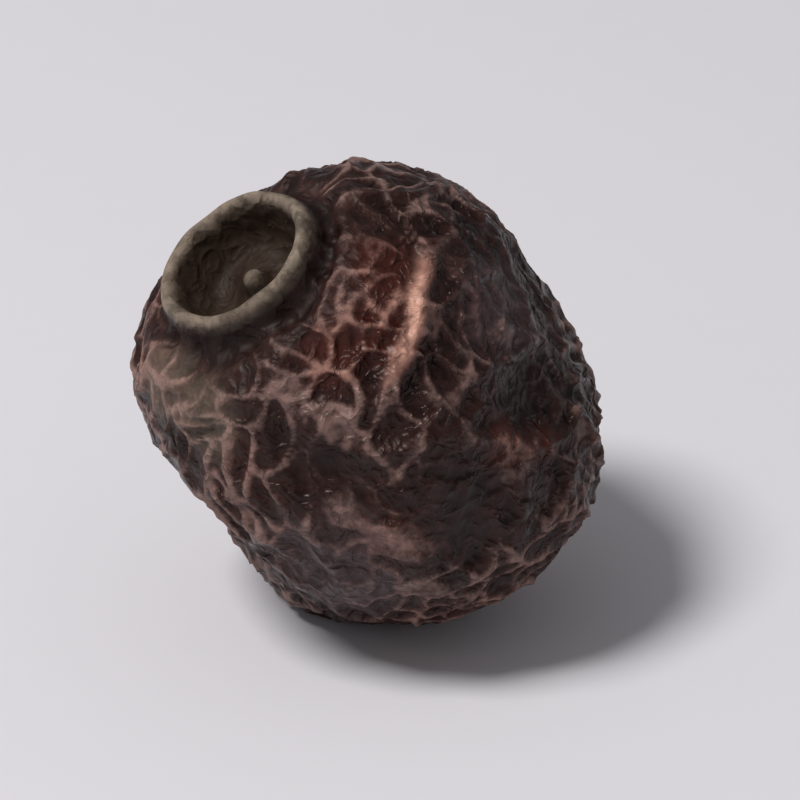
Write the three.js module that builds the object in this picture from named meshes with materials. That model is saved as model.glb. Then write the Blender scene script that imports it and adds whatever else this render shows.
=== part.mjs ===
import * as THREE from 'three';

// A dried hawthorn berry, lying on its side with the crown up and turned to the front left.
// Millimetres, +Z up. Places on the fruit are given as [degrees from the crown, degrees around].

// Body, measured along the axis from its middle; below 1 the fullness makes the crown end blunter.
// The steps are the degrees from the crown at which the half section has a point.
const BODY_RADIUS = 4.36;
const CROWN_END = 4.75;
const STALK_END = 4.3;
const CROWN_FULLNESS = 0.8;
const UPPER_STEPS = [42, 52, 62, 72, 82];
const LOWER_STEPS = [91, 102, 114, 126, 138, 149, 159, 166];

// Crown: the ring left by the flower, the sunken disc in it and the stub of the style
const RIM_RADIUS = 1.5;
const RIM_TOP = 5.18;
const RIM_HALF_WALL = 0.15;
const RIM_OVAL = 0.06;
const RIM_OVAL_TURN = 0.8;
const GROOVE_RADIUS = 1.86;
const GROOVE_DEPTH = 0.6;
const COLLAR_RADIUS = 2.4;
const COLLAR_DEPTH = 0.66;
const DISC_RADIUS = 1.0;
const DISC_LEVEL = 4.12;
const DISC_LOW_RADIUS = 0.65;
const DISC_RISE = 0.08;
const DISC_GRAIN = { waves: 18, pitch: 5.5, start: 5, height: 0.05 };
const STYLE_RADIUS = 0.16;
const STYLE_FOOT = 0.3;
const STYLE_TOP = 4.52;
const STYLE_ROUNDING = 0.04;
const SKIN_START = GROOVE_RADIUS - 0.1;
const SKIN_FULL = GROOVE_RADIUS + 0.3;

// Section of the ring: half walls out from its crest, millimetres below its crest
const RIM_SECTION = [
  [-2, 0.68],
  [-1.4, 0.36],
  [-0.95, 0.12],
  [0, 0],
  [0.85, 0.12],
  [1.3, 0.34],
];

// Waves along the crest of the ring: number around, height, phase
const RIM_WAVES = [
  [3, 0.035, 2],
  [5, 0.035, 0.6],
  [11, 0.012, 1],
];

// Pleats of the skin round the ring: number around, height, how far and how often they sway, phase
const PLEATS = [
  [13, 0.05, 2, 2, 0],
  [23, 0.03, 3, 3, 1],
];

// Scar of the stalk, opposite the crown
const SCAR_RADIUS = 0.56;
const SCAR_RIM = 0.12;
const SCAR_DEPTH = 0.14;
const SCAR_FLOOR = 0.22;
const SCAR_END = STALK_END + 0.04;

// How it lies: the direction of the crown, and how deep the underside is pressed flat
const CROWN_AXIS = new THREE.Vector3(-0.54, -0.33, 0.774).normalize();
const RESTING_PLACE = [141, -146];
const FLAT_DEPTH = 0.16;
const FLAT_SHARPNESS = 20;

// Wrinkles: cells of a net or waves of a braid, width of the crests on a unit sphere, their height
// and the least share of it; the bend and its pitch make them wander
const MAIN_NET = { cells: 70, crest: 0.1, height: 0.17, least: 0.35, bend: 0.1, bendPitch: 5 };
const MID_NET = { cells: 190, crest: 0.08, height: 0.09, least: 0.45, bend: 0.08, bendPitch: 8 };
const BRAID = {
  waves: 26, pitch: 13, start: 4, crest: 0.33, height: 0.12, least: 0.4, bend: 0.04, bendPitch: 8,
};
const NET_SHAKE = 0.9;
const WAVE_SHAKE = 0.5;

// Where the main and the middle net are strong, and the broad lumps: waves, their pitch, start
const MAIN_SHARE = { waves: 14, pitch: 4.5, start: 3 };
const MID_SHARE = { waves: 14, pitch: 6, start: 9 };
const LUMPS = { waves: 16, pitch: 5, start: 1, height: 0.07 };

// Folds: how they wander, their height at the ends, and how far they press the middle net down
const FOLD_BEND = 0.012;
const FOLD_BEND_PITCH = 17;
const FOLD_END = 0.35;
const FOLD_ARCH = 0.6;
const FOLD_FALL = 1.5;
const FOLD_PRESS = 0.3;
const FOLD_FULL = 0.25;

// Crests level off towards the limit; the sink takes their mean height off again
const LIMIT = 0.5;
const SINK = 0.16;
const CALM = 0.75;

// Length of the mesh edges, and of a row as a share of it
const EDGE = 0.25;
const CROWN_EDGE = 0.19;
const ROW = 0.92;
const FEWEST_SIDES = 7;
const SECTION_STEPS = 1600;

// Swellings and flats of the dried flesh: [place], share of the radius, sharpness
const SWELLINGS = [
  [[128, -46], 0.08, 8],
  [[77, -155], -0.19, 8],
  [[97, 9], -0.13, 7],
  [[80, -32], -0.055, 22],
  [[54, -87], -0.035, 24],
  [[43, -35], 0.02, 14],
  [[86, -70], 0.02, 16],
  [[60, 120], -0.07, 7],
  [[100, 60], 0.04, 6],
  [[125, 130], -0.06, 8],
  [[110, 175], 0.03, 7],
  [RESTING_PLACE, 0.02, 12],
];

// Smooth patches with little wrinkling: [place], sharpness
const CALM_PATCHES = [
  [[86, -70], 40],
  [[80, -32], 70],
  [[54, -87], 80],
  [[26, -120], 120],
  [[100, 40], 40],
  [[70, 140], 40],
  [[130, 100], 30],
  [[62, 34], 60],
];

// Long folds of the skin: chain of places, height, half width
const FOLDS = [
  [[[46, -6], [45.5, -30], [50, -59]], 0.34, 0.2],
  [[[42, 48], [29, 28], [26, -8], [27, -52]], 0.16, 0.16],
  [[[39, -94], [47, -82], [60, -74], [65, -56], [77, -51], [100, -35]], 0.3, 0.24],
  [[[27, -80], [34, -89], [45, -80], [52, -63]], 0.22, 0.17],
  [[[30, -160], [33, -123], [35, -95]], 0.22, 0.2],
  [[[66, -73], [78, -84], [98, -88], [107, -69], [94, -53], [78, -52]], 0.2, 0.2],
  [[[51, -143], [62, -133], [79, -125], [99, -118]], 0.2, 0.17],
  [[[49, -130], [62, -121], [81, -113]], 0.2, 0.16],
  [[[54, -12], [68, -22], [83, -16]], 0.2, 0.18],
  [[[62, -46], [72, -28], [86, -12]], 0.24, 0.18],
  [[[95, -26], [118, -25], [130, -37]], 0.26, 0.16],
  [[[37, -116], [47, -117], [60, -109], [57, -102]], 0.18, 0.16],
  [[[57, -102], [72, -102], [80, -93]], 0.18, 0.16],
  [[[42, 40], [39, 14], [54, 22], [67, 12]], 0.2, 0.18],
  [[[27, -34], [33, -48], [41, -48], [47, -43]], 0.16, 0.14],
  [[[40, 120], [62, 95], [80, 100], [104, 80]], 0.26, 0.22],
  [[[38, 165], [60, 150], [90, 160], [120, 140]], 0.26, 0.22],
  [[[80, 100], [92, 130], [90, 160]], 0.22, 0.2],
  [[[104, 80], [128, 60], [142, 20]], 0.24, 0.2],
  [[[60, 60], [84, 40], [104, 80]], 0.24, 0.2],
  [[[84, 40], [110, 10], [138, -10]], 0.24, 0.2],
  [[[120, 140], [140, 100], [150, 40]], 0.22, 0.2],
];

const GOLDEN_ANGLE = Math.PI * (3 - Math.sqrt(5));
const GOLDEN_STEP = (Math.sqrt(5) - 1) / 2;
const SHAKE_STEPS = [0.8191725134, 0.6710436067, 0.5497004779];

// Bends along x, y and z: phase of the first wave; pitch ratio and phase of the second
const SWAYS = [
  [1.1, 2.1, 4.0],
  [2.3, 2.3, 0.7],
  [5.2, 1.9, 2.9],
];
const SECOND_SWAY = 0.6;

function fraction(value) {
  return value - Math.floor(value);
}

function smooth(value, low, high) {
  return THREE.MathUtils.smoothstep(value, low, high);
}

function direction([fromCrown, around]) {
  const polar = THREE.MathUtils.degToRad(fromCrown);
  const turn = THREE.MathUtils.degToRad(around);
  return new THREE.Vector3(
    Math.sin(polar) * Math.cos(turn),
    Math.sin(polar) * Math.sin(turn),
    Math.cos(polar),
  );
}

// Points spread over a unit sphere on a golden spiral, then shaken out of line by a fixed rule.
function spread(count, shake) {
  const reach = (4 * shake) / Math.sqrt(count);
  const points = [];
  for (let i = 0; i < count; i += 1) {
    const step = i + 0.5;
    const z = 1 - (2 * step) / count;
    const ring = Math.sqrt(1 - z * z);
    const turn = step * GOLDEN_ANGLE;
    const point = new THREE.Vector3(ring * Math.cos(turn), ring * Math.sin(turn), z);
    const shaken = SHAKE_STEPS.map((shakeStep) => fraction(step * shakeStep) - 0.5);
    points.push(point.addScaledVector(new THREE.Vector3(...shaken), reach).normalize());
  }
  return points;
}

// Bends straight lines on the sphere by two sine waves along each axis.
function bend(u, amount, pitch) {
  const axes = u.toArray();
  const bent = SWAYS.map(([phase, ratio, secondPhase], k) => {
    const first = Math.sin(pitch * axes[(k + 1) % 3] + phase);
    const second = Math.sin(ratio * pitch * axes[(k + 2) % 3] + secondPhase);
    return axes[k] + amount * (first + SECOND_SWAY * second);
  });
  return new THREE.Vector3(...bent);
}

// A net of crests: 1 on the line between two neighbouring cells, falling off into each cell.
function makeNet({ cells, crest, bend: amount, bendPitch }) {
  const sites = spread(cells, NET_SHAKE);
  return (u) => {
    const place = bend(u, amount, bendPitch);
    let nearest = Infinity;
    let second = Infinity;
    for (const site of sites) {
      const distance = place.distanceTo(site);
      if (distance < nearest) {
        second = nearest;
        nearest = distance;
      } else if (distance < second) {
        second = distance;
      }
    }
    return 1 / (1 + ((second - nearest) / crest) ** 2);
  };
}

// Smooth noise, about -1 to 1: plane waves of one length running in evenly spread directions.
function makeWaves({ waves, pitch, start }) {
  const headings = spread(waves, WAVE_SHAKE);
  const scale = Math.sqrt(2 / waves);
  return (u) => {
    let sum = 0;
    headings.forEach((heading, k) => {
      const phase = 2 * Math.PI * fraction((k + start) * GOLDEN_STEP);
      sum += Math.cos(pitch * u.dot(heading) + phase);
    });
    return sum * scale;
  };
}

const mainNet = makeNet(MAIN_NET);
const midNet = makeNet(MID_NET);
const braidWaves = makeWaves(BRAID);
const lumps = makeWaves(LUMPS);
const mainShare = makeWaves(MAIN_SHARE);
const midShare = makeWaves(MID_SHARE);
const discGrain = makeWaves(DISC_GRAIN);

const underside = direction(RESTING_PLACE);
const swellings = SWELLINGS.map(([place, share, sharpness]) => [direction(place), share, sharpness]);
const calmPatches = CALM_PATCHES.map(([place, sharpness]) => [direction(place), sharpness]);
const folds = FOLDS.map(([chain, height, width]) => [chain.map(direction), height, width]);

// Meandering crests along the lines where a wave field passes through zero.
function braid(u) {
  const level = braidWaves(bend(u, BRAID.bend, BRAID.bendPitch));
  return 1 / (1 + (level / BRAID.crest) ** 2);
}

// Height of the long folds: a rounded crest along each chain, lower towards its ends.
function foldHeight(u) {
  const place = bend(u, FOLD_BEND, FOLD_BEND_PITCH);
  let height = 0;
  for (const [chain, top, width] of folds) {
    const parts = chain.length - 1;
    let best = 0;
    for (let k = 0; k < parts; k += 1) {
      const run = chain[k + 1].clone().sub(chain[k]);
      const share = place.clone().sub(chain[k]).dot(run) / run.lengthSq();
      const along = THREE.MathUtils.clamp(share, 0, 1);
      const foot = chain[k].clone().addScaledVector(run, along).normalize();
      const away = place.distanceTo(foot) * BODY_RADIUS;
      const arch = Math.abs(Math.sin((Math.PI * (k + along)) / parts)) ** FOLD_ARCH;
      const taper = FOLD_END + (1 - FOLD_END) * arch;
      best = Math.max(best, taper / (1 + (away / width) ** 2) ** FOLD_FALL);
    }
    height += top * best;
  }
  return height;
}

// A share from the least one up to 1, as a noise goes from -1 to 1.
function shareOf(noise, least) {
  return least + (1 - least) * (0.5 + 0.5 * THREE.MathUtils.clamp(noise, -1, 1));
}

// All the wrinkles of the skin, in millimetres along the normal.
function wrinkles(u) {
  const long = foldHeight(u);
  const calm = calmPatches.reduce(
    (most, [heading, sharpness]) => Math.max(most, Math.exp(sharpness * (u.dot(heading) - 1))),
    0,
  );
  const live = 1 - CALM * calm;
  const coarse = mainShare(u);
  const beside = 1 - FOLD_PRESS * Math.min(long / FOLD_FULL, 1);
  const main = MAIN_NET.height * mainNet(u) * shareOf(coarse, MAIN_NET.least);
  const braided = BRAID.height * braid(u) * shareOf(-coarse, BRAID.least) * live;
  const mid = MID_NET.height * midNet(u) * shareOf(midShare(u), MID_NET.least) * beside * live;
  const crests = LIMIT * Math.tanh((main + braided + mid + long) / LIMIT);
  return LUMPS.height * lumps(u) + crests - SINK;
}

// Half section from the style in the crown, over the rim and down the body to the stalk scar.
function halfSection() {
  const points = [
    [0, STYLE_TOP],
    [STYLE_RADIUS, STYLE_TOP - STYLE_ROUNDING],
    [STYLE_FOOT, DISC_LEVEL + DISC_RISE],
    [DISC_LOW_RADIUS, DISC_LEVEL],
    [DISC_RADIUS, DISC_LEVEL + DISC_RISE],
    ...RIM_SECTION.map(([walls, below]) => [RIM_RADIUS + walls * RIM_HALF_WALL, RIM_TOP - below]),
    [GROOVE_RADIUS, RIM_TOP - GROOVE_DEPTH],
    [COLLAR_RADIUS, RIM_TOP - COLLAR_DEPTH],
  ];
  for (const fromCrown of UPPER_STEPS) {
    const polar = THREE.MathUtils.degToRad(fromCrown);
    const r = BODY_RADIUS * Math.sin(polar) ** CROWN_FULLNESS;
    points.push([r, CROWN_END * Math.cos(polar) ** CROWN_FULLNESS]);
  }
  for (const fromCrown of LOWER_STEPS) {
    const polar = THREE.MathUtils.degToRad(fromCrown);
    points.push([BODY_RADIUS * Math.sin(polar), STALK_END * Math.cos(polar)]);
  }
  points.push(
    [SCAR_RADIUS + SCAR_RIM, SCAR_RIM - SCAR_END],
    [SCAR_RADIUS, -SCAR_END],
    [SCAR_RADIUS - SCAR_RIM, SCAR_RIM / 2 - SCAR_END],
    [SCAR_FLOOR, SCAR_DEPTH - SCAR_END],
    [0, SCAR_DEPTH - SCAR_END],
  );
  const curve = new THREE.SplineCurve(points.map(([r, z]) => new THREE.Vector2(r, z)));
  curve.arcLengthDivisions = SECTION_STEPS;
  return curve;
}

const section = halfSection();

// Unevenness of the crown: pleats round the ring, a waved crest, a grainy disc, an oval outline.
function shapeCrown(point, normal, r, turn) {
  const outside = RIM_RADIUS + RIM_HALF_WALL;
  const pleated = smooth(r, outside, GROOVE_RADIUS) * (1 - smooth(r, GROOVE_RADIUS, COLLAR_RADIUS));
  for (const [count, height, sway, swayCount, phase] of PLEATS) {
    const pleat = Math.cos(count * turn + sway * Math.sin(swayCount * turn + phase));
    point.addScaledVector(normal, pleated * height * pleat);
  }
  if (point.z > RIM_TOP - GROOVE_DEPTH) {
    const crest = Math.exp(-(((r - RIM_RADIUS) / RIM_HALF_WALL) ** 2));
    for (const [count, height, phase] of RIM_WAVES) {
      point.z += crest * height * Math.cos(count * turn + phase);
    }
  }
  const onDisc = smooth(r, STYLE_RADIUS, STYLE_FOOT) * (1 - smooth(r, DISC_RADIUS, RIM_RADIUS));
  point.z += DISC_GRAIN.height * onDisc * discGrain(point);
  const inRing = smooth(r, STYLE_FOOT, DISC_RADIUS) * (1 - smooth(r, outside, COLLAR_RADIUS));
  const oval = 1 + RIM_OVAL * Math.cos(2 * turn + RIM_OVAL_TURN) * inRing;
  point.x *= oval;
  point.y *= oval;
}

// One point of the fruit, upright: the section turned about the axis, wrinkled, then swollen.
function fruitPoint(share, turn) {
  const { x: r, y: z } = section.getPointAt(share);
  const along = section.getTangentAt(share);
  const out = new THREE.Vector3(Math.cos(turn), Math.sin(turn), 0);
  const point = out.clone().multiplyScalar(r).setZ(z);
  const normal = out.clone().multiplyScalar(-along.y).setZ(along.x);
  const u = point.clone().normalize();
  const upper = z > 0;

  const skin = upper
    ? smooth(r, SKIN_START, SKIN_FULL)
    : smooth(r, SCAR_RADIUS, 2 * SCAR_RADIUS);
  const pressed = Math.exp(FLAT_SHARPNESS * (u.dot(underside) - 1));
  if (skin > 0) {
    point.addScaledVector(normal, skin * (1 - pressed) * wrinkles(u));
  }
  if (upper) {
    shapeCrown(point, normal, r, turn);
  }
  let size = 1;
  for (const [heading, amount, sharpness] of swellings) {
    size += amount * Math.exp(sharpness * (u.dot(heading) - 1));
  }
  return point.multiplyScalar(size);
}

// Rings along the section, each with as many points as its girth needs.
function makeRings() {
  const length = section.getLength();
  const rings = [];
  let share = 0;
  while (share < 1 - EDGE / length / 2) {
    const { x: r, y: z } = section.getPointAt(share);
    const edge = z > 0 && r < COLLAR_RADIUS ? CROWN_EDGE : EDGE;
    const count = share > 0 ? Math.max(FEWEST_SIDES, Math.round((2 * Math.PI * r) / edge)) : 1;
    rings.push({ share, count, shift: (rings.length % 2) / 2 });
    share += (ROW * edge) / length;
  }
  rings.push({ share: 1, count: 1, shift: 0 });
  return rings;
}

// Zips neighbouring rings together with triangles.
function stitch(rings) {
  const faces = [];
  let start = 0;
  for (let row = 0; row < rings.length - 1; row += 1) {
    const above = rings[row];
    const below = rings[row + 1];
    const next = start + above.count;
    let i = 0;
    let j = 0;
    const stepsAbove = above.count > 1 ? above.count : 0;
    const stepsBelow = below.count > 1 ? below.count : 0;
    while (i < stepsAbove || j < stepsBelow) {
      const endAbove = i < stepsAbove ? (i + 1 + above.shift) / above.count : Infinity;
      const endBelow = j < stepsBelow ? (j + 1 + below.shift) / below.count : Infinity;
      const a = start + (i % above.count);
      const b = next + (j % below.count);
      if (endBelow <= endAbove) {
        faces.push(a, b, next + ((j + 1) % below.count));
        j += 1;
      } else {
        faces.push(a, b, start + ((i + 1) % above.count));
        i += 1;
      }
    }
    start = next;
  }
  return faces;
}

function berryGeometry() {
  const rings = makeRings();
  const lie = new THREE.Quaternion().setFromUnitVectors(new THREE.Vector3(0, 0, 1), CROWN_AXIS);
  const points = [];
  for (const { share, count, shift } of rings) {
    for (let k = 0; k < count; k += 1) {
      const turn = (2 * Math.PI * (k + shift)) / count;
      points.push(fruitPoint(share, turn).applyQuaternion(lie));
    }
  }
  const box = new THREE.Box3().setFromPoints(points);
  const middle = box.getCenter(new THREE.Vector3());
  const floor = box.min.z + FLAT_DEPTH;
  for (const point of points) {
    point.set(point.x - middle.x, point.y - middle.y, Math.max(point.z - floor, 0));
  }
  const geometry = new THREE.BufferGeometry().setFromPoints(points);
  geometry.setIndex(stitch(rings));
  geometry.computeVertexNormals();
  return geometry;
}

const skinMaterial = new THREE.MeshStandardMaterial({ color: 0x46322d, roughness: 0.55, metalness: 0 });
skinMaterial.name = 'dried_skin';

const berry = new THREE.Mesh(berryGeometry(), skinMaterial);
berry.name = 'berry';

const group = new THREE.Group();
group.name = 'dried_hawthorn_berry';
group.add(berry);

export default group;
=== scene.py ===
"""A dried hawthorn berry: its wrinkled skin with crown and stalk scar, and a plain stage."""
from math import cos, radians, sin

import bpy
import numpy as np
from bpy.props import FloatProperty, FloatVectorProperty, IntProperty, PointerProperty
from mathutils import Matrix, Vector


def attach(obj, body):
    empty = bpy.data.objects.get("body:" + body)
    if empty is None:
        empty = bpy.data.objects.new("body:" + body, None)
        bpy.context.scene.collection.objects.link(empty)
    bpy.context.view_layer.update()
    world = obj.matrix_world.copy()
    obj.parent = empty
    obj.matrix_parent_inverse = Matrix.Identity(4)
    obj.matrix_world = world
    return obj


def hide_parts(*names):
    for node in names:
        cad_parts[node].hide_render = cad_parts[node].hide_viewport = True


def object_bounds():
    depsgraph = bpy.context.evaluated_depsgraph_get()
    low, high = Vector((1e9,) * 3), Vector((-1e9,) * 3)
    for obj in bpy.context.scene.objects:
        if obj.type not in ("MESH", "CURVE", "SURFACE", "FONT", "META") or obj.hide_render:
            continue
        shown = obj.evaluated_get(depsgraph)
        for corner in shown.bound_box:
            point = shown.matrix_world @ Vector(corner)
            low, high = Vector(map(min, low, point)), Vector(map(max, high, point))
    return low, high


bl_info = {
    "name": "Dried hawthorn berry",
    "version": (1, 0, 0),
    "blender": (4, 5, 0),
    "location": "View3D > Sidebar > Berry",
    "description": "Builds a dried hawthorn berry with its wrinkled skin, crown and stalk scar",
    "category": "Add Mesh",
}

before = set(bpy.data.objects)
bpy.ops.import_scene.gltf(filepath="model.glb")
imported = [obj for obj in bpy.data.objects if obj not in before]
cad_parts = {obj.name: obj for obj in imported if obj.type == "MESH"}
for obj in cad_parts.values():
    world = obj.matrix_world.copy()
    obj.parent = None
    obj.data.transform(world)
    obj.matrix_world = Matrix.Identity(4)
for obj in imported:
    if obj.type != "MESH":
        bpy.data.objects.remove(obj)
CAD_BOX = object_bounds()
NODE = "berry"
BODY = "root"

MM = 0.001
UP = np.array([0.0, 0.0, 1.0])
GOLDEN_ANGLE = np.pi * (3.0 - np.sqrt(5.0))
GOLDEN_STEP = 0.618033988749895
SHAKE_STEPS = np.array([0.8191725134, 0.6710436067, 0.5497004779])

# How the berry lies: the direction of its crown, and the place that is pressed flat.
# Places on the fruit are (degrees from the crown, degrees around).
CROWN_AXIS = np.array([-0.54, -0.33, 0.774])
RESTING_PLACE = (141, -146)
FLAT_SHARPNESS = 20

# Swellings and flats of the dried flesh: place, share of the radius, sharpness
SWELLINGS = (
    ((128, -46), 0.08, 8),
    ((77, -155), -0.19, 8),
    ((97, 9), -0.13, 7),
    ((80, -32), -0.055, 22),
    ((54, -87), -0.035, 24),
    ((43, -35), 0.02, 14),
    ((86, -70), 0.02, 16),
    ((60, 120), -0.07, 7),
    ((100, 60), 0.04, 6),
    ((125, 130), -0.06, 8),
    ((110, 175), 0.03, 7),
    (RESTING_PLACE, 0.02, 12),
)

# Smooth patches with little wrinkling: place, sharpness
CALM_PATCHES = (
    ((86, -70), 40),
    ((80, -32), 70),
    ((54, -87), 80),
    ((26, -120), 120),
    ((100, 40), 40),
    ((70, 140), 40),
    ((130, 100), 30),
    ((62, 34), 60),
)

# Long folds of the skin: chain of places, height and half width in millimetres
FOLDS = (
    (((46, -6), (45.5, -30), (50, -59)), 0.34, 0.2),
    (((42, 48), (29, 28), (26, -8), (27, -52)), 0.16, 0.16),
    (((39, -94), (47, -82), (60, -74), (65, -56), (77, -51), (100, -35)), 0.3, 0.24),
    (((27, -80), (34, -89), (45, -80), (52, -63)), 0.22, 0.17),
    (((30, -160), (33, -123), (35, -95)), 0.22, 0.2),
    (((66, -73), (78, -84), (98, -88), (107, -69), (94, -53), (78, -52)), 0.2, 0.2),
    (((51, -143), (62, -133), (79, -125), (99, -118)), 0.2, 0.17),
    (((49, -130), (62, -121), (81, -113)), 0.2, 0.16),
    (((54, -12), (68, -22), (83, -16)), 0.2, 0.18),
    (((62, -46), (72, -28), (86, -12)), 0.24, 0.18),
    (((95, -26), (118, -25), (130, -37)), 0.26, 0.16),
    (((37, -116), (47, -117), (60, -109), (57, -102)), 0.18, 0.16),
    (((57, -102), (72, -102), (80, -93)), 0.18, 0.16),
    (((42, 40), (39, 14), (54, 22), (67, 12)), 0.2, 0.18),
    (((27, -34), (33, -48), (41, -48), (47, -43)), 0.16, 0.14),
    (((40, 120), (62, 95), (80, 100), (104, 80)), 0.26, 0.22),
    (((38, 165), (60, 150), (90, 160), (120, 140)), 0.26, 0.22),
    (((80, 100), (92, 130), (90, 160)), 0.22, 0.2),
    (((104, 80), (128, 60), (142, 20)), 0.24, 0.2),
    (((60, 60), (84, 40), (104, 80)), 0.24, 0.2),
    (((84, 40), (110, 10), (138, -10)), 0.24, 0.2),
    (((120, 140), (140, 100), (150, 40)), 0.22, 0.2),
)

# Points of the half section on the body, in degrees from the crown, and steps between two points
UPPER_STEPS = (42, 52, 62, 72, 82)
LOWER_STEPS = (91, 102, 114, 126, 138, 149, 159, 166)
SECTION_STEPS = 60

# Section of the ring: half walls out from its crest, millimetres below its crest
RIM_SECTION = ((-2.0, 0.68), (-1.4, 0.36), (-0.95, 0.12), (0.0, 0.0), (0.85, 0.12), (1.3, 0.34))
RIM_OVAL_TURN = 0.8

# Small steps of the section, in millimetres, and the disc's lowest place as a share of its radius
STYLE_ROUNDING = 0.04
DISC_RISE = 0.08
DISC_LOW_SHARE = 0.65
SCAR_DROP = 0.04
SCAR_FLOOR = 0.22

# Waves along the crest of the ring: number around, height in millimetres, phase
RIM_WAVES = ((3, 0.035, 2.0), (5, 0.035, 0.6), (11, 0.012, 1.0))

# Pleats of the skin round the ring: number around, height in millimetres, how far and how often
# they sway, phase
PLEATS = ((13, 0.05, 2, 2, 0.0), (23, 0.03, 3, 3, 1.0))

# Bends along x, y and z: phase of the first wave; pitch ratio and phase of the second
SWAYS = ((1.1, 2.1, 4.0), (2.3, 2.3, 0.7), (5.2, 1.9, 2.9))
SECOND_SWAY = 0.6
NET_SHAKE = 0.9
WAVE_SHAKE = 0.5

# Nets of crests: cells on the whole fruit, crest width on a unit sphere, bend and its pitch
MAIN_NET = (70, 0.1, 0.1, 5.0)
MID_NET = (190, 0.08, 0.08, 8.0)
FINE_NET = (560, 0.032, 0.045, 14.0)

# Meandering crests: waves, pitch, start, crest width, bend and its pitch
BRAID = (26, 13.0, 4, 0.33, 0.04, 8.0)
FINE_BRAID = (40, 21.0, 7, 0.5, 0.05, 7.0)
FINE_BEND = (0.05, 4.0)

# Smooth noise: waves, pitch, start; where the main and the middle net are strong, lumps and grains
MAIN_SHARE = (14, 4.5, 3)
MID_SHARE = (14, 6.0, 9)
LUMP_WAVES = (16, 5.0, 1)
DISC_GRAIN = (18, 5.5, 5)

# Least share of the height that each kind of crest keeps, and what a calm patch takes off
MAIN_LEAST = 0.35
BRAID_LEAST = 0.4
MID_LEAST = 0.45
FINE_LEAST = 0.4
RUNS_LEAST = 0.5
CALM = 0.75

# Folds: bend and its pitch, height at the ends, how the height arches along the fold and falls off
# across it, and how far a fold of full height in millimetres presses the middle net down
FOLD_BEND = (0.012, 17.0)
FOLD_END = 0.35
FOLD_ARCH = 0.6
FOLD_FALL = 1.5
FOLD_PRESS = 0.3
FOLD_FULL = 0.25

# What the fine crests lose on top of high ones, between two heights in millimetres
CROWDED = (0.2, 0.45)
CROWDED_LOSS = 0.4

# Millimetres from the groove at which the wrinkled skin starts inwards and is full outwards, and
# the radii at which its fine crests are full and its dull shoulder ends
SKIN_START = 0.1
SKIN_FULL = 0.3
FINE_FULL_RADIUS = 3.0
NEAR_RADIUS = 3.4

# How pale the crests are, partly the skin's own paler crests and partly painted highlight along them
# and along the folds, with the hollows between left darker as painted shade: shares of the fine net,
# the runs and the wider nets, how narrow the lines of the fine net are, least shares, height in
# millimetres of a fold that is all pale, and an offset
PALE_FINE = 0.8
PALE_RUNS = 0.15
PALE_NETS = 0.1
PALE_FALL = 1.5
PALE_LEAST = 0.5
PALE_CALM = 0.35
PALE_FOLD = 0.95
PALE_FOLD_CALM = 0.4
PALE_START = 0.05

# Edges of the marks: ring and pit in half walls from the ring's crest, scar in millimetres, style as
# a share of its radius; and how far calm skin and the shoulder lose their creases
RING_EDGE = (0.5, 1.35)
PIT_EDGE = (-1.5, -0.5)
SCAR_EDGE = (0.45, 0.75)
STYLE_EDGE = 1.6
ROUGH_CALM = 0.6
ROUGH_NEAR = 0.5

# Where the skin is rust-coloured, grey or tan, and where painted shade darkens the hollows beside the
# folds: place, sharpness
RUST_PATCHES = (
    ((36, -24), 60), ((41, -45), 55), ((36, -63), 90), ((82, -48), 110), ((93, -41), 110),
)
GREY_PATCHES = (((66, -16), 20), ((84, -104), 14), ((80, 70), 12), ((110, 150), 12))
TAN_PATCHES = (((32, -150), 45), ((36, -122), 60), ((40, 80), 40))
SHADE_PATCHES = (((82, -36), 60), ((54, -36), 170), ((55, -86), 50), ((41, -97), 130), ((70, 130), 40))

# The pale streak along one fold: chain of places, half width in millimetres
STREAK = ((42.5, -8), (43.5, -24), (45, -40), (48.5, -59))
STREAK_WIDTH = 0.22

# Noises of the finishes: pitch per metre, detail, roughness
BROAD_NOISE = (420.0, 3.0, 0.55)
PATCHY_NOISE = (900.0, 4.0, 0.6)
GRAIN_NOISE = (5200.0, 5.0, 0.65)
FLECK_NOISE = (2400.0, 4.0, 0.6)
FLOOR_NOISE = (900.0, 3.0, 0.55)
CREASE_NOISE = {
    "Scale": 2600.0, "Detail": 2.5, "Roughness": 0.5, "Distortion": 0.35, "Offset": 0.9, "Gain": 1.6,
}

# Shares in the skin's finish: start and end on the value that each follows, then the share at each
SHARES = {
    "shown": (0.36, 0.6, 0.7, 1.1),
    "slope": (0.0, 0.4, 0.0, 1.0),
    "crest": (0.42, 0.95, 0.0, 0.95),
    "wine": (0.5, 0.7, 0.0, 0.35),
    "wine_crest": (0.1, 1.0, 0.0, 1.0),
    "grey": (0.25, 0.9, 0.0, 0.45),
    "rust": (0.3, 0.85, 0.0, 0.8),
    "rust_crest": (0.35, 1.0, 0.0, 1.0),
    "tan": (0.3, 0.95, 0.0, 0.3),
    "painted_shade": (0.25, 0.95, 0.0, 0.5),
    "streak": (0.2, 0.8, 0.0, 0.85),
    "core": (0.6, 1.1, 0.0, 0.8),
    "flecks": (0.38, 0.6, 0.45, 0.95),
    "dust": (0.3, 0.75, 0.75, 1.2),
    "gloss": (0.3, 0.7, 0.29, 0.49),
}
PIT_SHARE = 0.95
STYLE_SHARE = 0.55

# How far noise moves the edges of the colours, and wears the crests
EDGE_SWAY = {"grey": 1.2, "rust": 0.9, "tan": 0.9, "streak": 1.4}
WEAR = 0.7

# Gloss of the skin, and depths of its bumps in millimetres
SPECULAR = 0.28
GLINT_TINT = (1.0, 0.86, 0.8, 1.0)
SHOULDER_DULLNESS = 0.22
CREASE_DEPTH = 0.06
GRAIN_DEPTH = 0.012
GRAIN_STRENGTH = 0.6

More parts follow.
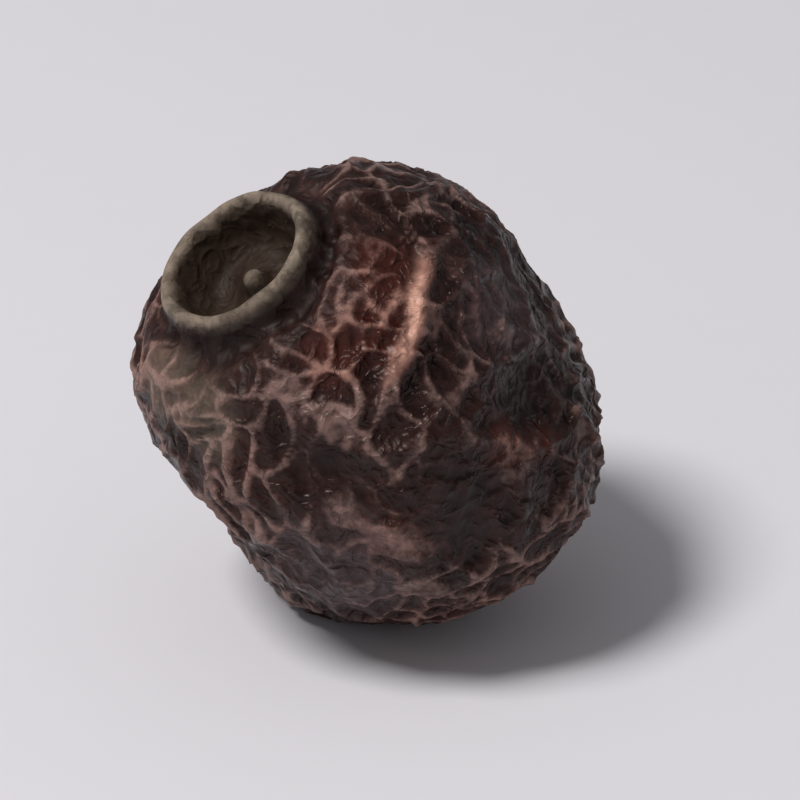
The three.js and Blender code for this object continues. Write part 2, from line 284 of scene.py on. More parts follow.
# Stage: half the floor's side in metres, its darker fleck and roughness, the light from all round, the
# direction of the key light, and the camera's sensor, nearest distance and aim in millimetres
FLOOR_HALF = 0.7
FLOOR_SHADE = 0.985
FLOOR_ROUGHNESS = 0.7
SKY_COLOUR = (0.97, 0.97, 1.0, 1.0)
KEY_DIRECTION = np.array([-0.46, -0.24, 0.86])
SENSOR_WIDTH = 36.0
CLIP_START = 1.0
AIM = np.array([0.6, 0.0, -0.3])


def srgb(red, green, blue):
    """Linear colour of 8-bit screen values, by the screen's own curve."""
    share = np.array([red, green, blue]) / 255.0
    curve = np.where(share < 0.04045, share / 12.92, ((share + 0.055) / 1.055) ** 2.4)
    return tuple(float(value) for value in curve)


def length(name, description, millimetres):
    """A length property whose default is given in millimetres."""
    return FloatProperty(
        name=name, description=description, default=millimetres * MM,
        subtype="DISTANCE", unit="LENGTH", precision=5,
    )


def colour(name, description, red, green, blue):
    """A colour property whose default is given in 8-bit screen values."""
    return FloatVectorProperty(
        name=name, description=description, default=srgb(red, green, blue),
        subtype="COLOR", size=3, min=0.0, max=1.0,
    )


class HawForm(bpy.types.PropertyGroup):
    """Sizes of the berry, the same as those of its solid."""

    body_radius: length("Body radius", "Widest radius of the body", 4.36)
    crown_end: length("Crown end", "Middle of the body to its crown end", 4.75)
    stalk_end: length("Stalk end", "Middle of the body to its stalk end", 4.3)
    crown_fullness: FloatProperty(
        name="Crown fullness", description="Below 1 the crown end is blunter", default=0.8,
    )
    rim_radius: length("Rim radius", "Radius of the crown ring at its crest", 1.5)
    rim_top: length("Rim top", "Middle of the body to the crest of the ring", 5.18)
    rim_half_wall: length("Rim half wall", "Half the thickness of the ring", 0.15)
    rim_oval: FloatProperty(
        name="Rim oval", description="How far the ring is from round", default=0.06,
    )
    groove_radius: length("Groove radius", "Radius of the groove round the ring", 1.86)
    groove_depth: length("Groove depth", "Depth of the groove below the ring's crest", 0.6)
    collar_radius: length("Collar radius", "Radius of the flesh beside the groove", 2.4)
    collar_depth: length("Collar depth", "Depth of that flesh below the ring's crest", 0.66)
    disc_radius: length("Disc radius", "Radius of the sunken disc in the crown", 1.0)
    disc_level: length("Disc level", "Height of the sunken disc", 4.12)
    disc_grain: length("Disc grain", "Height of the grains on the disc", 0.05)
    style_radius: length("Style radius", "Radius of the stub of the style", 0.16)
    style_foot: length("Style foot", "Radius of the foot of the style", 0.3)
    style_top: length("Style top", "Height of the stub of the style", 4.52)
    scar_radius: length("Scar radius", "Radius of the stalk scar", 0.56)
    scar_rim: length("Scar rim", "Width of the rim round the stalk scar", 0.12)
    scar_depth: length("Scar depth", "Depth of the scar inside its rim", 0.14)
    flat_depth: length("Flat depth", "How deep the underside is pressed flat", 0.16)


class HawWrinkles(bpy.types.PropertyGroup):
    """Heights of the wrinkles, from the broad lumps to the finest net."""

    lumps: length("Lumps", "Height of the broad lumps", 0.07)
    main: length("Main net", "Height of the widest net of crests", 0.17)
    mid: length("Middle net", "Height of the middle net of crests", 0.09)
    braid: length("Braid", "Height of the meandering crests", 0.12)
    limit: length("Limit", "Height towards which the crests level off", 0.5)
    sink: length("Sink", "Mean height taken off the wrinkles", 0.16)
    fine: length("Fine net", "Height of the fine raised net", 0.125)
    runs: length("Runs", "Height of the fine crests that run from crown to stalk", 0.06)
    fine_sink: length("Fine sink", "Mean height taken off the fine crests", 0.06)
    fine_run: FloatProperty(
        name="Fine run", description="Below 1 the fine crests run longer from crown to stalk",
        default=0.5,
    )


class HawColours(bpy.types.PropertyGroup):
    """Colours of the dried skin, the crown and the scar."""

    # The colours of the hollows and the crests are partly the skin's own and partly painted light: the
    # hollows also stand for painted shade, between the crests and in the shaded patches beside the
    # folds, and the crests for painted highlight.
    hollow_and_shade: colour("Hollow", "Skin in the hollows", 20, 6, 4)
    slope: colour("Slope", "Skin between hollow and crest", 44, 22, 18)
    crest: colour("Crest", "Skin on the crests", 130, 102, 95)
    wine: colour("Wine", "Redder skin", 58, 22, 19)
    bloom: colour("Bloom", "Dull grey film on the skin", 88, 72, 74)
    rust: colour("Rust", "Skin of the rust-coloured patch", 66, 26, 19)
    rust_crest: colour("Rust crest", "Crests of the rust-coloured patch", 160, 116, 102)
    crown: colour("Crown", "Ring and shoulder of the crown", 136, 121, 106)
    disc: colour("Disc", "Sunken disc in the crown", 40, 26, 16)
    scar: colour("Scar", "Scar of the stalk", 196, 172, 132)
    streak: colour("Streak", "The pale streak along one fold", 232, 178, 154)


class HawStage(bpy.types.PropertyGroup):
    """Floor, light and camera."""

    floor: colour("Floor", "Pale floor", 229, 226, 230)
    key_power: FloatProperty(
        name="Key power", description="Power of the key light", default=0.74, unit="POWER",
    )
    key_size: length("Key size", "Diameter of the key light", 95.0)
    key_distance: length("Key distance", "Key light to the middle of the berry", 300.0)
    fill: FloatProperty(
        name="Fill", description="Strength of the light from all round", default=0.25,
    )
    elevation: FloatProperty(
        name="Elevation", description="Height of the camera above the horizon",
        default=radians(27.0), subtype="ANGLE", unit="ROTATION",
    )
    frame_width: length("Frame width", "Width of the view at the berry", 15.6)
    lens: FloatProperty(
        name="Lens", description="Focal length of the camera in millimetres", default=200.0,
    )


def unit(vectors):
    """Each vector divided by its length."""
    return vectors / np.linalg.norm(vectors, axis=-1, keepdims=True)


def fraction(values):
    """What is left of each number above its whole part."""
    return values - np.floor(values)


def smooth(values, low, high):
    """0 below low and 1 above high, with a cubic ease between them."""
    share = np.clip((values - low) / (high - low), 0.0, 1.0)
    return share * share * (3.0 - 2.0 * share)


def inside(values, low, high):
    """1 below low and 0 above high, with a cubic ease between them."""
    return 1.0 - smooth(values, low, high)


def between(share, least):
    """A share of 0 to 1 taken to the range from the least one up to 1."""
    return least + (1.0 - least) * share


def direction(place):
    """Unit vector at (degrees from the crown, degrees around)."""
    polar, turn = radians(place[0]), radians(place[1])
    return np.array([sin(polar) * cos(turn), sin(polar) * sin(turn), cos(polar)])


def patch(u, place, sharpness):
    """A round patch: 1 at the place, falling off as e to the sharpness times (cosine less 1)."""
    return np.exp(sharpness * (u @ direction(place) - 1.0))


def patches(u, places):
    """The strongest of several round patches."""
    return np.max([patch(u, place, sharpness) for place, sharpness in places], axis=0)


def spread(count, shake):
    """Points on a unit sphere along a golden spiral, shaken out of line by a fixed rule."""
    step = np.arange(count) + 0.5
    z = 1.0 - 2.0 * step / count
    ring = np.sqrt(1.0 - z * z)
    turn = step * GOLDEN_ANGLE
    points = np.stack([ring * np.cos(turn), ring * np.sin(turn), z], -1)
    reach = 4.0 * shake / np.sqrt(count)
    return unit(points + reach * (fraction(step[:, None] * SHAKE_STEPS) - 0.5))


def bend(u, amount, pitch):
    """The points moved by two sine waves along each axis, so that straight lines wander."""
    sway = [
        np.sin(pitch * u[..., (k + 1) % 3] + phase)
        + SECOND_SWAY * np.sin(ratio * pitch * u[..., (k + 2) % 3] + second)
        for k, (phase, ratio, second) in enumerate(SWAYS)
    ]
    return u + amount * np.stack(sway, -1)


def net(u, cells, crest, amount, pitch):
    """A net of crests: 1 where the two nearest of many sites are equally far, less in each cell.

    With g the difference of the two distances, the height is 1 / (1 + (g / crest) squared).
    """
    place = bend(u, amount, pitch)
    own = (place * place).sum(-1)
    nearest = np.full(own.shape, np.inf)
    second = nearest.copy()
    for site in spread(cells, NET_SHAKE):
        away = own + 1.0 - 2.0 * (place @ site)
        second = np.minimum(second, np.maximum(nearest, away))
        nearest = np.minimum(nearest, away)
    gap = np.sqrt(np.maximum(second, 0.0)) - np.sqrt(np.maximum(nearest, 0.0))
    return 1.0 / (1.0 + (gap / crest) ** 2)


def waves(u, count, pitch, start):
    """Smooth noise: a sum of cosines along evenly spread directions, all of one wavelength."""
    total = np.zeros(u.shape[:-1])
    for k, heading in enumerate(spread(count, WAVE_SHAKE)):
        phase = 2.0 * np.pi * fraction((k + start) * GOLDEN_STEP)
        total += np.cos(pitch * (u @ heading) + phase)
    return total * np.sqrt(2.0 / count)


def share_of(noise):
    """Noise from about -1 to 1 taken to 0 to 1."""
    return 0.5 + 0.5 * np.clip(noise, -1.0, 1.0)


def braid(u, count, pitch, start, crest, amount, bend_pitch):
    """Meandering crests along the lines where a wave field passes through zero."""
    level = waves(bend(u, amount, bend_pitch), count, pitch, start)
    return 1.0 / (1.0 + (level / crest) ** 2)


def fold(u, chain, half_width, radius):
    """A rounded crest along a chain of places, 1 in the middle and lower towards its ends.

    Across the fold it is (1 + (distance / half width) squared) to the power minus FOLD_FALL.
    """
    place = bend(u, *FOLD_BEND)
    stops = np.array([direction(stop) for stop in chain])
    parts = len(stops) - 1
    best = np.zeros(u.shape[:-1])
    for k in range(parts):
        run = stops[k + 1] - stops[k]
        along = np.clip((place - stops[k]) @ run / (run @ run), 0.0, 1.0)
        foot = unit(stops[k] + along[..., None] * run)
        away = np.linalg.norm(place - foot, axis=-1) * radius / (half_width * MM)
        arch = np.abs(np.sin(np.pi * (k + along) / parts)) ** FOLD_ARCH
        best = np.maximum(best, between(arch, FOLD_END) * (1.0 + away**2) ** -FOLD_FALL)
    return best


def smooth_curve(points, steps):
    """Cubic curve through the points, each span weighted by its two ends and their neighbours."""
    padded = np.vstack([points[:1], points, points[-1:]])
    t = np.linspace(0.0, 1.0, steps, endpoint=False)[None, :, None]
    a, b, c, d = (padded[k:len(padded) - 3 + k, None, :] for k in range(4))
    spans = 2.0 * b + (c - a) * t
    spans = spans + (2.0 * a - 5.0 * b + 4.0 * c - d) * t**2 + (3.0 * b - a - 3.0 * c + d) * t**3
    return np.vstack([0.5 * spans.reshape(-1, points.shape[1]), points[-1:]])


def half_section(form, rows):
    """Half section from the style over the ring and down the body to the stalk scar.

    A cubic curve through points set by the sizes; on the body, radius and height follow the sine
    and the cosine of the angle from the crown. Returns the way along the curve at even rows, radius
    and height there, and their slopes.
    """
    rim, top, rise = form.rim_radius, form.rim_top, form.disc_level + DISC_RISE * MM
    crown = [
        (0.0, form.style_top),
        (form.style_radius, form.style_top - STYLE_ROUNDING * MM),
        (form.style_foot, rise),
        (form.disc_radius * DISC_LOW_SHARE, form.disc_level),
        (form.disc_radius, rise),
        *((rim + walls * form.rim_half_wall, top - below * MM) for walls, below in RIM_SECTION),
        (form.groove_radius, top - form.groove_depth),
        (form.collar_radius, top - form.collar_depth),
    ]
    upper, lower, full = np.radians(UPPER_STEPS), np.radians(LOWER_STEPS), form.crown_fullness
    shoulder = np.stack([
        form.body_radius * np.sin(upper) ** full, form.crown_end * np.cos(upper) ** full,
    ], -1)
    belly = np.stack([form.body_radius * np.sin(lower), form.stalk_end * np.cos(lower)], -1)
    base = -form.stalk_end - SCAR_DROP * MM
    scar = [
        (form.scar_radius + form.scar_rim, base + form.scar_rim),
        (form.scar_radius, base),
        (form.scar_radius - form.scar_rim, base + form.scar_rim / 2.0),
        (SCAR_FLOOR * MM, base + form.scar_depth),
        (0.0, base + form.scar_depth),
    ]
    curve = smooth_curve(np.vstack([crown, shoulder, belly, scar]), SECTION_STEPS)
    steps = np.linalg.norm(np.diff(curve, axis=0), axis=1)
    travelled = np.concatenate([[0.0], np.cumsum(steps)])
    stops = np.linspace(0.0, travelled[-1], rows)
    radius = np.interp(stops, travelled, curve[:, 0])
    height = np.interp(stops, travelled, curve[:, 1])
    radius[[0, -1]] = 0.0
    return stops, radius, height, np.gradient(radius, stops), np.gradient(height, stops)


def lie_down(points):
    """The upright fruit turned so that its axis points along CROWN_AXIS, by the shortest turn."""
    axis = unit(CROWN_AXIS)
    cross = np.cross(UP, axis)
    skew = np.array([
        [0.0, -cross[2], cross[1]],
        [cross[2], 0.0, -cross[0]],
        [-cross[1], cross[0], 0.0],
    ])
    turn = np.eye(3) + skew + skew @ skew / (1.0 + axis[2])
    return points @ turn.T


def crown_relief(form, point, normal, r, z, turn):
    """The crown's own unevenness: pleats outside the ring, a waved crest, a grainy disc, an oval."""
    upper = z > 0.0
    style, disc, rim, wall = form.style_radius, form.disc_radius, form.rim_radius, form.rim_half_wall
    groove, collar, outside = form.groove_radius, form.collar_radius, rim + wall
    pleat = sum(
        height * MM * np.cos(count * turn + sway * np.sin(often * turn + phase))
        for count, height, sway, often, phase in PLEATS
    )
    pleated = upper * smooth(r, outside, groove) * inside(r, groove, collar)
    point = point + normal * (pleated * pleat)[..., None]
    high = point[..., 2] > form.rim_top - form.groove_depth
    crest = high * np.exp(-(((r - rim) / wall) ** 2))
    wave = sum(height * MM * np.cos(count * turn + phase) for count, height, phase in RIM_WAVES)
    on_disc = upper * smooth(r, style, form.style_foot) * inside(r, disc, rim)
    grain = form.disc_grain * waves(point / MM, *DISC_GRAIN)
    point = point + UP * (crest * wave + on_disc * grain)[..., None]
    in_ring = upper * smooth(r, form.style_foot, disc) * inside(r, outside, collar)
    oval = 1.0 + form.rim_oval * np.cos(2.0 * turn + RIM_OVAL_TURN) * in_ring
    return point * np.stack([oval, oval, np.ones_like(oval)], -1)


def skin_relief(form, folds, u, way):
    """Heights of the skin along its normal, coarse and fine, with how calm and how pale it is; the
    paleness is partly the skin's own and partly painted highlight.

    The coarse height is the lumps, and the sum of the nets, the braid and the folds, which levels
    off as limit * tanh(sum / limit), less the sink. The fine one is the fine net and the runs.
    """
    calm = patches(u, CALM_PATCHES)
    live = 1.0 - CALM * calm
    long = sum(top * MM * fold(u, chain, width, form.body_radius) for chain, top, width in FOLDS)
    coarse = share_of(waves(u, *MAIN_SHARE))
    slight = share_of(waves(u, *MID_SHARE))
    beside = 1.0 - FOLD_PRESS * np.minimum(long / (FOLD_FULL * MM), 1.0)
    main, mid = net(u, *MAIN_NET), net(u, *MID_NET)
    fine = net(unit(bend(u, *FINE_BEND)), *FINE_NET)
    runs = braid(way, *FINE_BRAID)

    raised = folds.main * main * between(coarse, MAIN_LEAST) + long
    raised = raised + folds.braid * braid(u, *BRAID) * between(1.0 - coarse, BRAID_LEAST) * live
    raised = raised + folds.mid * mid * between(slight, MID_LEAST) * beside * live
    broad = folds.limit * np.tanh(raised / folds.limit) - folds.sink
    broad = broad + folds.lumps * waves(u, *LUMP_WAVES)

    close = folds.fine * fine * between(slight, FINE_LEAST)
    close = close + folds.runs * runs * between(1.0 - slight, RUNS_LEAST)
    low, high = (height * MM for height in CROWDED)
    close = close * live * (1.0 - CROWDED_LOSS * smooth(raised, low, high))

    # Paleness: partly the skin's own paler crests, partly painted highlight; the folds' share stands
    # in for the glints along their crests.
    pale = PALE_FINE * fine**PALE_FALL * between(slight, PALE_LEAST) + PALE_RUNS * runs
    pale = (pale + PALE_NETS * (main + mid)) * between(live, PALE_CALM)
    pale = pale + long / (PALE_FOLD * MM) * between(live, PALE_FOLD_CALM) - PALE_START
    return broad, close, calm, pale


def finish_marks(form, u, r, z, calm, pale):
    """What the skin's finish reads at each point: for each kind of place, 0 outside and 1 on it."""
    crown, scar = z > 0.0, z < 0.0
    rim, wall = form.rim_radius, form.rim_half_wall
    near = crown * inside(r, form.groove_radius, NEAR_RADIUS * MM)
    return {
        # paleness of the crests, partly painted highlight; where it is low, painted shade
        "crest": np.clip(pale, 0.0, 1.0),
        "rust": patches(u, RUST_PATCHES),
        "grey": patches(u, GREY_PATCHES),
        "tan": patches(u, TAN_PATCHES),
        # painted shade beside the folds
        "painted_shade": patches(u, SHADE_PATCHES),
        "streak": fold(u, STREAK, STREAK_WIDTH, form.body_radius),
        "style": crown * inside(r, form.style_radius, STYLE_EDGE * form.style_radius),
        "rough": (1.0 - ROUGH_CALM * calm) * (1.0 - ROUGH_NEAR * near),
        "near": near,
        "ring": crown * inside(r, *(rim + walls * wall for walls in RING_EDGE)),
        "pit": crown * inside(r, *(rim + walls * wall for walls in PIT_EDGE)),
        "scar": scar * inside(r, *(edge * MM for edge in SCAR_EDGE)),
    }


def fruit_surface(form, folds, rows, cols):
    """The whole skin on a grid of rows along the half section and columns around the axis.

    Point = section turned about the axis + normal * wrinkles, scaled by the swellings, laid down
    and pressed flat underneath. Also returns what the skin's finish reads at each point.
    """
    stops, radius, height, d_radius, d_height = half_section(form, rows)
    turn = np.linspace(0.0, 2.0 * np.pi, cols, endpoint=False)[None, :]
    out = np.stack([np.cos(turn), np.sin(turn), np.zeros_like(turn)], -1)
    section = radius[:, None, None] * out + height[:, None, None] * UP
    normal = unit(-d_height[:, None, None] * out + d_radius[:, None, None] * UP)
    u = unit(section)
    r = np.broadcast_to(radius[:, None], u.shape[:2])
    z = np.broadcast_to(height[:, None], u.shape[:2])
    way = out + folds.fine_run / form.body_radius * stops[:, None, None] * UP
    broad, close, calm, pale = skin_relief(form, folds, u, way)

    groove, scar = form.groove_radius, form.scar_radius
    wrinkled = np.where(
        z > 0.0,
        smooth(r, groove - SKIN_START * MM, groove + SKIN_FULL * MM),
        smooth(r, scar, 2.0 * scar),
    )
    wrinkled = wrinkled * (1.0 - patch(u, RESTING_PLACE, FLAT_SHARPNESS))
    far = np.where(z > 0.0, smooth(r, groove, FINE_FULL_RADIUS * MM), 1.0)
    swelling = 1.0 + sum(amount * patch(u, place, k) for place, amount, k in SWELLINGS)

    def finished(relief):
        point = section + normal * (wrinkled * relief)[..., None]
        point = crown_relief(form, point, normal, r, z, turn)
        return lie_down(point * swelling[..., None])

    solid, points = finished(broad), finished(broad + close * far - folds.fine_sink)
    low, high = solid.min((0, 1)), solid.max((0, 1))
    points = points - np.array([(low[0] + high[0]) / 2.0, (low[1] + high[1]) / 2.0, 0.0])
    points[..., 2] = np.maximum(points[..., 2] - low[2] - form.flat_depth, 0.0)
    return points, finish_marks(form, u, r, z, calm, pale * wrinkled)


def mesh_from_rings(name, rings, marks):
    """Closed skin over stacked rings: the end rows are one point each, with a fan of triangles."""
    rows, cols = rings.shape[:2]
    body = rings[1:-1].reshape(-1, 3)
    last = len(body) + 1
    j = np.arange(cols)
    k = (j + 1) % cols
    start = 1 + cols * np.arange(rows - 3)[:, None]
    quads = np.stack([start + j, start + cols + j, start + cols + k, start + k], -1)
    end = 1 + cols * (rows - 3)
    fans = np.vstack([
        np.stack([np.zeros_like(j), 1 + j, 1 + k], -1),
        np.stack([end + j, np.full_like(j, last), end + k], -1),
    ])
    mesh = bpy.data.meshes.new(name)
    vertices = np.vstack([rings[0, :1], body, rings[-1, :1]])
    mesh.from_pydata(vertices.tolist(), [], quads.reshape(-1, 4).tolist() + fans.tolist())
    mesh.polygons.foreach_set("use_smooth", np.ones(len(mesh.polygons), dtype=bool))
    for mark, values in marks.items():
        flat = np.concatenate([values[0, :1], values[1:-1].ravel(), values[-1, :1]])
        layer = mesh.attributes.new(mark, "FLOAT", "POINT")
        layer.data.foreach_set("value", flat.astype(np.float32))
    mesh.update()
    return mesh


def add_piece(name, mesh, material):
    """An object for a mesh, at the origin, with its material and its body."""
    mesh.materials.append(material)
    piece = bpy.data.objects.new(name, mesh)
    bpy.context.scene.collection.objects.link(piece)
    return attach(piece, BODY)


class Finish:
    """A material under construction: adds nodes, sets their sockets and joins them."""

    def __init__(self, name):
        self.material = bpy.data.materials.new(name)
        self.material.use_nodes = True
        self.tree = self.material.node_tree
        self.shader = self.tree.nodes["Principled BSDF"]

    def add(self, kind, inputs=None, **settings):
        """A node with its settings, and its inputs set to values or joined to other sockets."""
        node = self.tree.nodes.new(kind)
        for key, value in settings.items():
            setattr(node, key, value)
        for key, value in (inputs or {}).items():
            self.put(node.inputs[key], value)
        return node

    def put(self, socket, value):
        """A value set on a socket, or a link to it."""
        if isinstance(value, bpy.types.NodeSocket):
            self.tree.links.new(value, socket)
        else:
            socket.default_value = value

    def mark(self, name):
        """The value of one of the mesh's own attributes."""
        return self.add("ShaderNodeAttribute", attribute_name=name).outputs["Fac"]

    def wavering(self, name, sway):
        """One of the mesh's own attributes, with its edge moved by a noise."""
        return self.sum("ADD", self.mark(name), self.sum("MULTIPLY", sway, EDGE_SWAY[name]))

    def object_place(self):
        """Object coordinates, in metres."""
        return self.add("ShaderNodeTexCoord").outputs["Object"]

    def noise(self, place, pitch, detail, roughness):
        """Fractal noise, about 0 to 1."""
        inputs = {"Vector": place, "Scale": pitch, "Detail": detail, "Roughness": roughness}
        return self.add("ShaderNodeTexNoise", inputs).outputs["Fac"]

    def creases(self, place):
        """Sharp crests with smooth hollows between them, about 0 to 1."""
        inputs = {"Vector": place, **CREASE_NOISE}
        return self.add(
            "ShaderNodeTexNoise", inputs, noise_type="RIDGED_MULTIFRACTAL",
        ).outputs["Fac"]

    def share(self, value, name):
        """The share of a colour or gloss, by its named range."""
        return self.ramp(value, *SHARES[name])

    def ramp(self, value, low, high, to_low, to_high):
        """A value taken from one range to another, with a smooth ease and clamped ends."""
        node = self.add("ShaderNodeMapRange", {
            "Value": value, "From Min": low, "From Max": high, "To Min": to_low, "To Max": to_high,
        }, interpolation_type="SMOOTHSTEP")
        return node.outputs["Result"]

    def sum(self, operation, first, second):
        """Two values joined by a sum, product or other operation."""
        node = self.add("ShaderNodeMath", operation=operation)
        self.put(node.inputs[0], first)
        self.put(node.inputs[1], second)
        return node.outputs[0]

    def blend(self, share, first, second):
        """Two colours mixed by a share."""
        node = self.add("ShaderNodeMix", data_type="RGBA")
        self.put(node.inputs["Factor"], share)
        sides = [socket for socket in node.inputs if socket.type == "RGBA"]
        for socket, value in zip(sides, (first, second)):
            self.put(socket, value if isinstance(value, bpy.types.NodeSocket) else (*value, 1.0))
        return next(socket for socket in node.outputs if socket.type == "RGBA")

    def bump(self, height, distance, strength, normal=None):
        """A bump of a height field, laid over another normal."""
        inputs = {"Height": height, "Distance": distance, "Strength": strength}
        if normal is not None:
            inputs["Normal"] = normal
        return self.add("ShaderNodeBump", inputs).outputs["Normal"]


def skin_finish(colours):
    """Dry skin: darker in the hollows and paler on the crests, partly its own colour and partly
    painted shade and painted highlight, with painted shade beside the folds and wine, grey, tan and
    rust patches.
    """
    skin = Finish("dried_skin")
    place = skin.object_place()
    patchy = skin.noise(place, *PATCHY_NOISE)
    grain = skin.noise(place, *GRAIN_NOISE)
    sway = skin.sum("SUBTRACT", patchy, 0.5)

    # Paler crests and darker hollows: partly the skin's own colour, partly painted highlight on the
    # crests and painted shade in the hollows; the grain noise adds real wear.
    shown = skin.sum("MULTIPLY", skin.mark("crest"), skin.share(patchy, "shown"))
    wear = skin.sum("MULTIPLY", skin.sum("SUBTRACT", grain, 0.5), WEAR)
    wear_and_painted_light = skin.sum("ADD", shown, wear)
    tone = skin.blend(skin.share(wear_and_painted_light, "slope"), colours.hollow_and_shade, colours.slope)
    tone = skin.blend(skin.share(wear_and_painted_light, "crest"), tone, colours.crest)
    wine = skin.blend(skin.share(wear_and_painted_light, "wine_crest"), colours.wine, colours.rust_crest)
    tone = skin.blend(skin.share(skin.noise(place, *BROAD_NOISE), "wine"), tone, wine)

    tone = skin.blend(skin.share(skin.wavering("grey", sway), "grey"), tone, colours.bloom)
    rusty = skin.blend(skin.share(wear_and_painted_light, "rust_crest"), colours.rust, colours.rust_crest)
    tone = skin.blend(skin.share(skin.wavering("rust", sway), "rust"), tone, rusty)
    tone = skin.blend(skin.share(skin.wavering("tan", sway), "tan"), tone, colours.crown)
    # Painted shade: the hollows beside the folds are pulled towards the colour of the hollows.
    tone = skin.blend(skin.share(skin.mark("painted_shade"), "painted_shade"), tone, colours.hollow_and_shade)
    tone = skin.blend(skin.share(skin.mark("streak"), "streak"), tone, colours.rust_crest)
    tone = skin.blend(skin.share(skin.wavering("streak", sway), "core"), tone, colours.streak)

    flecks = skin.share(skin.noise(place, *FLECK_NOISE), "flecks")
    tone = skin.blend(skin.sum("MULTIPLY", skin.mark("ring"), flecks), tone, colours.crown)
    tone = skin.blend(skin.sum("MULTIPLY", skin.mark("pit"), PIT_SHARE), tone, colours.disc)
    tone = skin.blend(skin.sum("MULTIPLY", skin.mark("style"), STYLE_SHARE), tone, colours.crown)
    tone = skin.blend(skin.mark("scar"), tone, colours.scar)
    dust = skin.share(grain, "dust")
    shaded = skin.add("ShaderNodeHueSaturation", {"Value": dust, "Color": tone})

    dull = skin.sum("MULTIPLY", skin.mark("near"), SHOULDER_DULLNESS)
    gloss = skin.sum("ADD", skin.share(patchy, "gloss"), dull)
    relief = skin.bump(skin.creases(place), CREASE_DEPTH * MM, skin.mark("rough"))
    relief = skin.bump(grain, GRAIN_DEPTH * MM, GRAIN_STRENGTH, relief)
    skin.put(skin.shader.inputs["Base Color"], shaded.outputs["Color"])
    skin.put(skin.shader.inputs["Roughness"], gloss)
    skin.put(skin.shader.inputs["Normal"], relief)
    skin.put(skin.shader.inputs["Specular IOR Level"], SPECULAR)
    skin.put(skin.shader.inputs["Specular Tint"], GLINT_TINT)
    return skin.material


def floor_finish(pale):
    """Pale matt board with a very faint unevenness."""
    board = Finish("pale_board")
    fleck = board.noise(board.object_place(), *FLOOR_NOISE)
    shade = [FLOOR_SHADE * value for value in pale]
    board.put(board.shader.inputs["Base Color"], board.blend(fleck, shade, pale))
    board.put(board.shader.inputs["Roughness"], FLOOR_ROUGHNESS)
    return board.material


class HAW_OT_make_fruit(bpy.types.Operator):
    """Make the berry's fine skin in place of its plain solid"""

    bl_idname = "haw.make_fruit"
    bl_label = "Make the berry"

    rows: IntProperty(name="Rows", description="Rows from crown to stalk", default=232, min=20)
    cols: IntProperty(name="Columns", description="Columns around the axis", default=424, min=20)

    def execute(self, context):
        scene = context.scene
        points, marks = fruit_surface(scene.haw_form, scene.haw_wrinkles, self.rows, self.cols)
        mesh = mesh_from_rings("berry_skin", points, marks)
        berry = add_piece("berry_skin", mesh, skin_finish(scene.haw_colours))
        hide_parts(NODE)
        return {"FINISHED"}


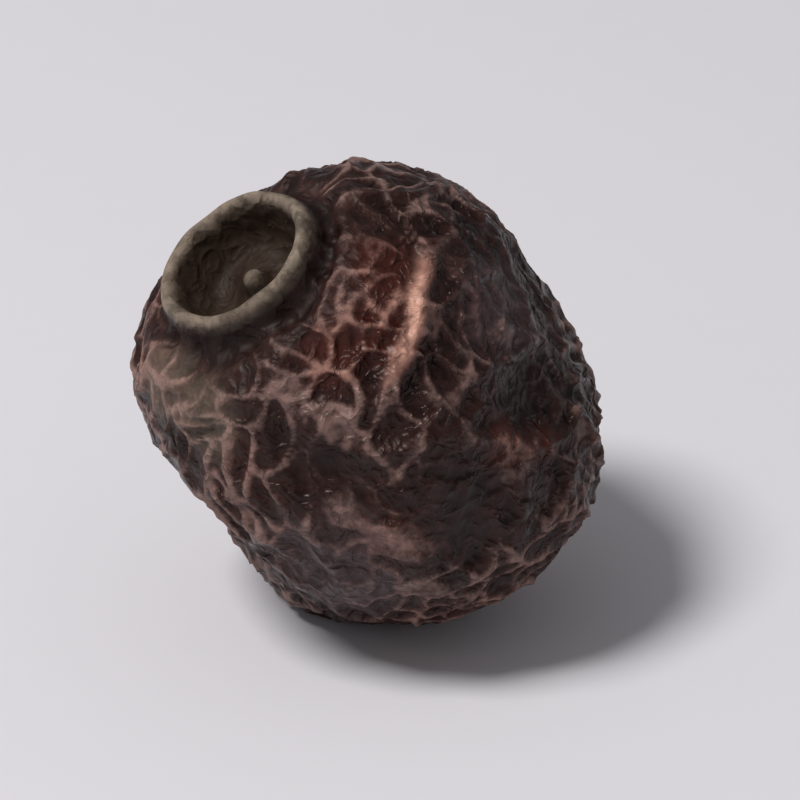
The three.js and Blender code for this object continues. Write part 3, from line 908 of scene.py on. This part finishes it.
class HAW_OT_make_stage(bpy.types.Operator):
    """Make the pale floor, the soft studio light and the camera"""

    bl_idname = "haw.make_stage"
    bl_label = "Make the stage"

    def execute(self, context):
        scene = context.scene
        stage = scene.haw_stage
        low, high = (np.array(corner) for corner in CAD_BOX)
        middle = (low + high) / 2.0
        self.make_floor(scene, stage)
        self.make_light(scene, stage, middle)
        self.make_camera(scene, stage, middle)
        return {"FINISHED"}

    def make_floor(self, scene, stage):
        """A square of the pale board, level with the underside of the berry."""
        half = FLOOR_HALF
        corners = [(-half, -half, 0), (half, -half, 0), (half, half, 0), (-half, half, 0)]
        mesh = bpy.data.meshes.new("floor")
        mesh.from_pydata(corners, [], [(0, 1, 2, 3)])
        mesh.materials.append(floor_finish(stage.floor))
        floor = bpy.data.objects.new("floor", mesh)
        scene.collection.objects.link(floor)

    def make_light(self, scene, stage, middle):
        """An even light from all round, and a round key light from the upper left."""
        world = bpy.data.worlds.new("studio")
        world.use_nodes = True
        sky = world.node_tree.nodes["Background"]
        sky.inputs["Color"].default_value = SKY_COLOUR
        sky.inputs["Strength"].default_value = stage.fill
        scene.world = world
        scene.view_settings.view_transform = "Standard"
        key = bpy.data.lights.new("key", "AREA")
        key.shape = "DISK"
        key.size = stage.key_size
        key.energy = stage.key_power
        lamp = bpy.data.objects.new("key", key)
        lamp.location = middle + stage.key_distance * unit(KEY_DIRECTION)
        aim = Vector(middle) - lamp.location
        lamp.rotation_euler = aim.to_track_quat("-Z", "Y").to_euler()
        scene.collection.objects.link(lamp)

    def make_camera(self, scene, stage, middle):
        """A camera in front, raised by the elevation, at the distance that gives the frame width."""
        data = bpy.data.cameras.new("camera")
        data.lens = stage.lens
        data.sensor_width = SENSOR_WIDTH
        data.clip_start = CLIP_START * MM
        camera = bpy.data.objects.new("camera", data)
        back = Vector((0.0, -cos(stage.elevation), sin(stage.elevation)))
        target = Vector(middle + AIM * MM)
        camera.location = target + back * (stage.frame_width * data.lens / data.sensor_width)
        camera.rotation_euler = (-back).to_track_quat("-Z", "Y").to_euler()
        scene.collection.objects.link(camera)
        scene.camera = camera


class HAW_PT_panel(bpy.types.Panel):
    """Sizes, colours and the steps that build the berry"""

    bl_idname = "HAW_PT_panel"
    bl_label = "Dried hawthorn berry"
    bl_space_type = "VIEW_3D"
    bl_region_type = "UI"
    bl_category = "Berry"

    def draw(self, context):
        layout = self.layout
        for name in GROUPS:
            group = getattr(context.scene, name)
            column = layout.column(align=True)
            for key in group.__annotations__:
                column.prop(group, key)
        layout.operator(HAW_OT_make_fruit.bl_idname)
        layout.operator(HAW_OT_make_stage.bl_idname)


GROUPS = {
    "haw_form": HawForm,
    "haw_wrinkles": HawWrinkles,
    "haw_colours": HawColours,
    "haw_stage": HawStage,
}
CLASSES = (*GROUPS.values(), HAW_OT_make_fruit, HAW_OT_make_stage, HAW_PT_panel)


def register():
    """Registers the classes, and puts the groups of settings on the scene."""
    for cls in CLASSES:
        bpy.utils.register_class(cls)
    for name, group in GROUPS.items():
        setattr(bpy.types.Scene, name, PointerProperty(type=group))


def unregister():
    """Undoes what register did."""
    for name in GROUPS:
        delattr(bpy.types.Scene, name)
    for cls in reversed(CLASSES):
        bpy.utils.unregister_class(cls)


def main():
    """Builds the berry and its stage."""
    register()
    bpy.ops.haw.make_fruit()
    bpy.ops.haw.make_stage()
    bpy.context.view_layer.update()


if __name__ == "__main__":
    main()
